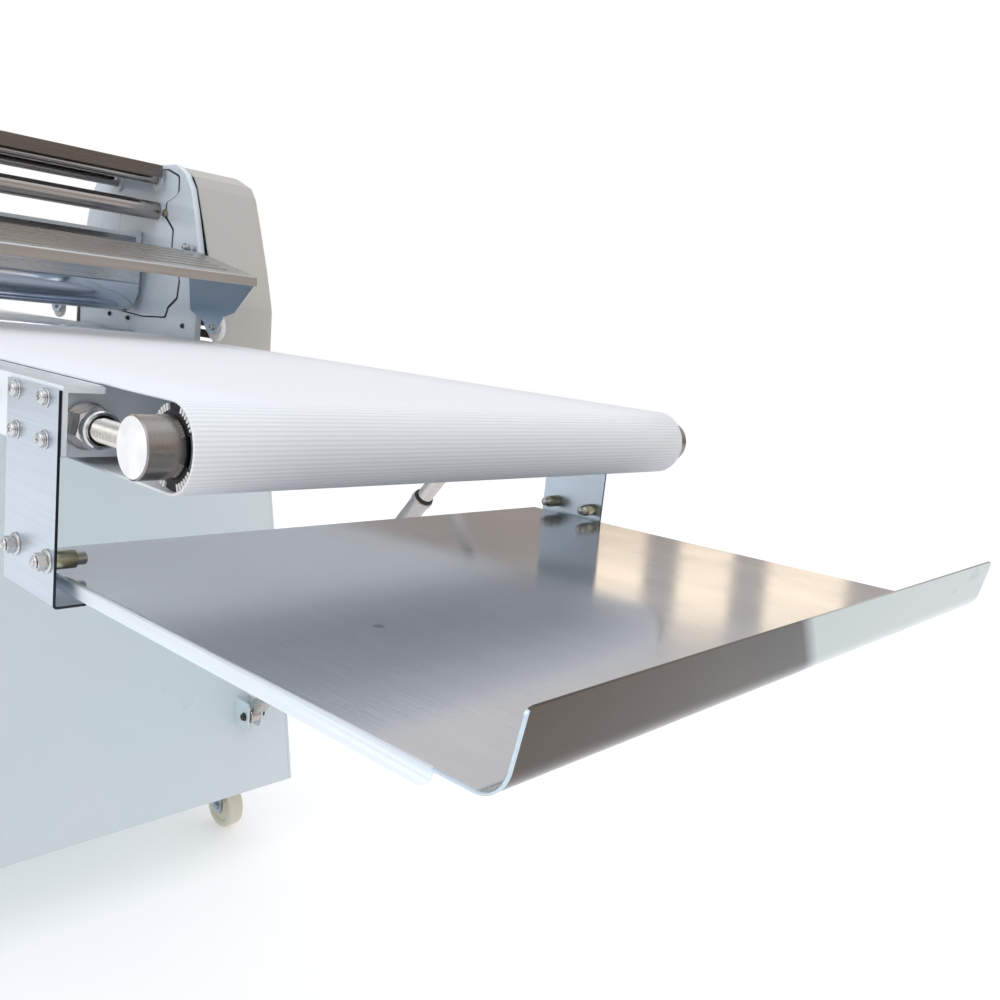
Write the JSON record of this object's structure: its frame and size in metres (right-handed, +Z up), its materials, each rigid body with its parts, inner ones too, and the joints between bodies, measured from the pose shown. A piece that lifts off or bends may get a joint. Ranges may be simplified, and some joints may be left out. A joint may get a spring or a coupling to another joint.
{
  "type": "dough sheeter",
  "caption": "Floor-standing reversible dough sheeter: roller head on a tapered cabinet, folding belt tables on telescopic struts, catch trays, hinged slotted guards.",
  "frame": {"origin": "bottom centre of the bounding box, on the floor the casters stand on", "axes": "+X along the tables to the right-hand catch tray, -Y towards the operator side with the lever, +Z up"},
  "size_m": [2.7706, 0.816, 1.1702],
  "materials": {
    "table_paint": "smooth gloss white powder coat",
    "plate_paint": "gloss white enamel",
    "cover_paint": "satin beige grey",
    "cabinet_paint": "satin light blue grey",
    "belt": "white woven food belt, cross ribbed",
    "stainless": "brushed stainless steel",
    "roller_chrome": "hard chromed and polished",
    "zinc": "bright zinc plated or ground steel",
    "nylon": "cream white nylon",
    "black_plastic": "black moulded",
    "red_plastic": "red moulded",
    "green_plastic": "green moulded",
    "motor_paint": "black stove enamel"
  },
  "bodies": {
    "base": {"cabinet_shell": "cabinet_paint", "cabinet_panel_front": "cabinet_paint", "cabinet_panel_rear": "cabinet_paint", "drive_motor": "motor_paint", "head_plate_front": "plate_paint", "head_plate_rear": "plate_paint", "head_cover_front": "cover_paint", "head_cover_rear": "cover_paint", "top_bar_right": "zinc", "top_bar_left": "zinc", "lower_scraper": "stainless"},
    "lower_roller": {"lower_roller": "roller_chrome"},
    "upper_roller": {"upper_roller": "roller_chrome"},
    "carriage": {"roller_carriage": "plate_paint", "upper_scraper": "stainless"},
    "gap_control": {"gap_shaft": "zinc", "gap_lever": "black_plastic"},
    "flour_tray": {"flour_tray": "stainless"},
    "stop_button": {"stop_button": "red_plastic"},
    "start_button": {"start_button": "green_plastic"},
    "direction_lever": {"direction_lever": "black_plastic"},
    "table_right": {"table_right_frame": "table_paint", "belt_right": "belt", "nose_shaft_right": "stainless", "tray_bracket_right_front": "stainless", "tray_bracket_right_rear": "stainless"},
    "nose_roller_right": {"nose_roller_right": "zinc"},
    "drive_roller_right": {"drive_roller_right": "zinc"},
    "catch_tray_right": {"catch_tray_right": "stainless"},
    "guard_right": {"guard_right": "stainless"},
    "guard_wheel_right_front": {"guard_wheel_right_front": "nylon"},
    "strut_sleeve_right_front": {"strut_sleeve_right_front": "stainless"},
    "strut_rod_right_front": {"strut_rod_right_front": "stainless"},
    "caster_fork_right_front": {"caster_fork_right_front": "zinc"},
    "caster_wheel_right_front": {"caster_wheel_right_front": "nylon"},
    "guard_wheel_right_rear": {"guard_wheel_right_rear": "nylon"},
    "strut_sleeve_right_rear": {"strut_sleeve_right_rear": "stainless"},
    "strut_rod_right_rear": {"strut_rod_right_rear": "stainless"},
    "caster_fork_right_rear": {"caster_fork_right_rear": "zinc"},
    "caster_wheel_right_rear": {"caster_wheel_right_rear": "nylon"},
    "table_left": {"table_left_frame": "table_paint", "belt_left": "belt", "nose_shaft_left": "stainless", "tray_bracket_left_front": "stainless", "tray_bracket_left_rear": "stainless"},
    "nose_roller_left": {"nose_roller_left": "zinc"},
    "drive_roller_left": {"drive_roller_left": "zinc"},
    "catch_tray_left": {"catch_tray_left": "stainless"},
    "guard_left": {"guard_left": "stainless"},
    "guard_wheel_left_front": {"guard_wheel_left_front": "nylon"},
    "strut_sleeve_left_front": {"strut_sleeve_left_front": "stainless"},
    "strut_rod_left_front": {"strut_rod_left_front": "stainless"},
    "caster_fork_left_front": {"caster_fork_left_front": "zinc"},
    "caster_wheel_left_front": {"caster_wheel_left_front": "nylon"},
    "guard_wheel_left_rear": {"guard_wheel_left_rear": "nylon"},
    "strut_sleeve_left_rear": {"strut_sleeve_left_rear": "stainless"},
    "strut_rod_left_rear": {"strut_rod_left_rear": "stainless"},
    "caster_fork_left_rear": {"caster_fork_left_rear": "zinc"},
    "caster_wheel_left_rear": {"caster_wheel_left_rear": "nylon"}
  },
  "joints": [
    {"name": "lower_roller_spin", "type": "hinge", "parent": "base", "child": "lower_roller", "pos_m": [0, 0.028, 0.769], "axis": [0, 1, 0], "continuous": true},
    {"name": "gap_lever_turn", "type": "hinge", "parent": "base", "child": "gap_control", "pos_m": [0.07, 0.028, 1.008], "axis": [0, -1, 0], "range_deg": [0, 100]},
    {"name": "carriage_slide", "type": "slide", "parent": "base", "child": "carriage", "axis": [0, 0, 1], "range_m": [-0.0275, 0]},
    {"name": "upper_roller_spin", "type": "hinge", "parent": "carriage", "child": "upper_roller", "pos_m": [0, 0.028, 0.887], "axis": [0, 1, 0], "continuous": true},
    {"name": "flour_tray_lift", "type": "slide", "parent": "base", "child": "flour_tray", "axis": [0, 0, 1], "range_m": [0, 0.05]},
    {"name": "stop_button_press", "type": "slide", "parent": "base", "child": "stop_button", "axis": [0, 1, 0], "range_m": [0, 0.005], "stiffness_N_per_m": 400},
    {"name": "start_button_press", "type": "slide", "parent": "base", "child": "start_button", "axis": [0, 1, 0], "range_m": [0, 0.005], "stiffness_N_per_m": 300},
    {"name": "direction_lever_turn", "type": "hinge", "parent": "base", "child": "direction_lever", "pos_m": [0, -0.362, 0.785], "axis": [0, -1, 0], "range_deg": [-25, 25], "stiffness_Nm_per_rad": 0.6},
    {"name": "table_right_fold", "type": "hinge", "parent": "base", "child": "table_right", "pos_m": [0.115, 0.028, 0.785], "axis": [0, -1, 0], "range_deg": [0, 50]},
    {"name": "drive_roller_right_spin", "type": "hinge", "parent": "table_right", "child": "drive_roller_right", "pos_m": [0.115, 0.028, 0.785], "axis": [0, 1, 0], "continuous": true},
    {"name": "nose_roller_right_spin", "type": "hinge", "parent": "table_right", "child": "nose_roller_right", "pos_m": [1.08, 0.028, 0.785], "axis": [0, 1, 0], "continuous": true},
    {"name": "catch_tray_right_slide", "type": "slide", "parent": "table_right", "child": "catch_tray_right", "axis": [0.9998, 0, 0.0203], "range_m": [-0.3, 0]},
    {"name": "guard_right_lift", "type": "hinge", "parent": "base", "child": "guard_right", "pos_m": [0.19, 0.028, 0.951], "axis": [0, -1, 0], "range_deg": [0, 117]},
    {"name": "guard_wheel_right_front_spin", "type": "hinge", "parent": "guard_right", "child": "guard_wheel_right_front", "pos_m": [0.277, -0.2255, 0.836], "axis": [0, 1, 0], "continuous": true},
    {"name": "strut_right_front_swing", "type": "hinge", "parent": "base", "child": "strut_sleeve_right_front", "pos_m": [0.37, -0.272, 0.242], "axis": [0, -1, 0], "range_deg": [0, 29.4]},
    {"name": "strut_right_front_extend", "type": "slide", "parent": "strut_sleeve_right_front", "child": "strut_rod_right_front", "axis": [0.6364, 0, 0.7714], "range_m": [0, 0.3975]},
    {"name": "caster_right_front_swivel", "type": "hinge", "parent": "base", "child": "caster_fork_right_front", "pos_m": [0.235, -0.302, 0.11], "axis": [0, 0, 1], "continuous": true},
    {"name": "caster_wheel_right_front_spin", "type": "hinge", "parent": "caster_fork_right_front", "child": "caster_wheel_right_front", "pos_m": [0.263, -0.302, 0.0375], "axis": [0, 1, 0], "continuous": true},
    {"name": "guard_wheel_right_rear_spin", "type": "hinge", "parent": "guard_right", "child": "guard_wheel_right_rear", "pos_m": [0.277, 0.2815, 0.836], "axis": [0, 1, 0], "continuous": true},
    {"name": "strut_right_rear_swing", "type": "hinge", "parent": "base", "child": "strut_sleeve_right_rear", "pos_m": [0.37, 0.328, 0.242], "axis": [0, -1, 0], "range_deg": [0, 29.4]},
    {"name": "strut_right_rear_extend", "type": "slide", "parent": "strut_sleeve_right_rear", "child": "strut_rod_right_rear", "axis": [0.6364, 0, 0.7714], "range_m": [0, 0.3975]},
    {"name": "caster_right_rear_swivel", "type": "hinge", "parent": "base", "child": "caster_fork_right_rear", "pos_m": [0.235, 0.358, 0.11], "axis": [0, 0, 1], "continuous": true},
    {"name": "caster_wheel_right_rear_spin", "type": "hinge", "parent": "caster_fork_right_rear", "child": "caster_wheel_right_rear", "pos_m": [0.263, 0.358, 0.0375], "axis": [0, 1, 0], "continuous": true},
    {"name": "table_left_fold", "type": "hinge", "parent": "base", "child": "table_left", "pos_m": [-0.115, 0.028, 0.785], "axis": [0, 1, 0], "range_deg": [0, 50]},
    {"name": "drive_roller_left_spin", "type": "hinge", "parent": "table_left", "child": "drive_roller_left", "pos_m": [-0.115, 0.028, 0.785], "axis": [0, 1, 0], "continuous": true},
    {"name": "nose_roller_left_spin", "type": "hinge", "parent": "table_left", "child": "nose_roller_left", "pos_m": [-1.08, 0.028, 0.785], "axis": [0, 1, 0], "continuous": true},
    {"name": "catch_tray_left_slide", "type": "slide", "parent": "table_left", "child": "catch_tray_left", "axis": [-0.9998, 0, 0.0203], "range_m": [-0.3, 0]},
    {"name": "guard_left_lift", "type": "hinge", "parent": "base", "child": "guard_left", "pos_m": [-0.19, 0.028, 0.951], "axis": [0, 1, 0], "range_deg": [0, 117]},
    {"name": "guard_wheel_left_front_spin", "type": "hinge", "parent": "guard_left", "child": "guard_wheel_left_front", "pos_m": [-0.277, -0.2255, 0.836], "axis": [0, 1, 0], "continuous": true},
    {"name": "strut_left_front_swing", "type": "hinge", "parent": "base", "child": "strut_sleeve_left_front", "pos_m": [-0.37, -0.272, 0.242], "axis": [0, 1, 0], "range_deg": [0, 29.4]},
    {"name": "strut_left_front_extend", "type": "slide", "parent": "strut_sleeve_left_front", "child": "strut_rod_left_front", "axis": [-0.6364, 0, 0.7714], "range_m": [0, 0.3975]},
    {"name": "caster_left_front_swivel", "type": "hinge", "parent": "base", "child": "caster_fork_left_front", "pos_m": [-0.291, -0.302, 0.11], "axis": [0, 0, 1], "continuous": true},
    {"name": "caster_wheel_left_front_spin", "type": "hinge", "parent": "caster_fork_left_front", "child": "caster_wheel_left_front", "pos_m": [-0.263, -0.302, 0.0375], "axis": [0, 1, 0], "continuous": true},
    {"name": "guard_wheel_left_rear_spin", "type": "hinge", "parent": "guard_left", "child": "guard_wheel_left_rear", "pos_m": [-0.277, 0.2815, 0.836], "axis": [0, 1, 0], "continuous": true},
    {"name": "strut_left_rear_swing", "type": "hinge", "parent": "base", "child": "strut_sleeve_left_rear", "pos_m": [-0.37, 0.328, 0.242], "axis": [0, 1, 0], "range_deg": [0, 29.4]},
    {"name": "strut_left_rear_extend", "type": "slide", "parent": "strut_sleeve_left_rear", "child": "strut_rod_left_rear", "axis": [-0.6364, 0, 0.7714], "range_m": [0, 0.3975]},
    {"name": "caster_left_rear_swivel", "type": "hinge", "parent": "base", "child": "caster_fork_left_rear", "pos_m": [-0.291, 0.358, 0.11], "axis": [0, 0, 1], "continuous": true},
    {"name": "caster_wheel_left_rear_spin", "type": "hinge", "parent": "caster_fork_left_rear", "child": "caster_wheel_left_rear", "pos_m": [-0.263, 0.358, 0.0375], "axis": [0, 1, 0], "continuous": true}
  ],
  "couplings": [
    {"joint": "gap_lever_turn", "follows": "carriage_slide", "rad_per_m": -63.46},
    {"joint": "upper_roller_spin", "follows": "lower_roller_spin", "ratio": -1},
    {"joint": "drive_roller_right_spin", "follows": "lower_roller_spin", "ratio": 1.5493},
    {"joint": "nose_roller_right_spin", "follows": "lower_roller_spin", "ratio": 1.5493},
    {"joint": "guard_right_lift", "follows": "table_right_fold", "ratio": 2.34},
    {"joint": "strut_right_front_swing", "follows": "table_right_fold", "ratio": 0.5841},
    {"joint": "strut_right_front_extend", "follows": "table_right_fold", "m_per_rad": 0.45304},
    {"joint": "strut_right_rear_swing", "follows": "table_right_fold", "ratio": 0.5841},
    {"joint": "strut_right_rear_extend", "follows": "table_right_fold", "m_per_rad": 0.45304},
    {"joint": "drive_roller_left_spin", "follows": "lower_roller_spin", "ratio": 1.5493},
    {"joint": "nose_roller_left_spin", "follows": "lower_roller_spin", "ratio": 1.5493},
    {"joint": "guard_left_lift", "follows": "table_left_fold", "ratio": 2.34},
    {"joint": "strut_left_front_swing", "follows": "table_left_fold", "ratio": 0.5841},
    {"joint": "strut_left_front_extend", "follows": "table_left_fold", "m_per_rad": 0.45304},
    {"joint": "strut_left_rear_swing", "follows": "table_left_fold", "ratio": 0.5841},
    {"joint": "strut_left_rear_extend", "follows": "table_left_fold", "m_per_rad": 0.45304}
  ]
}
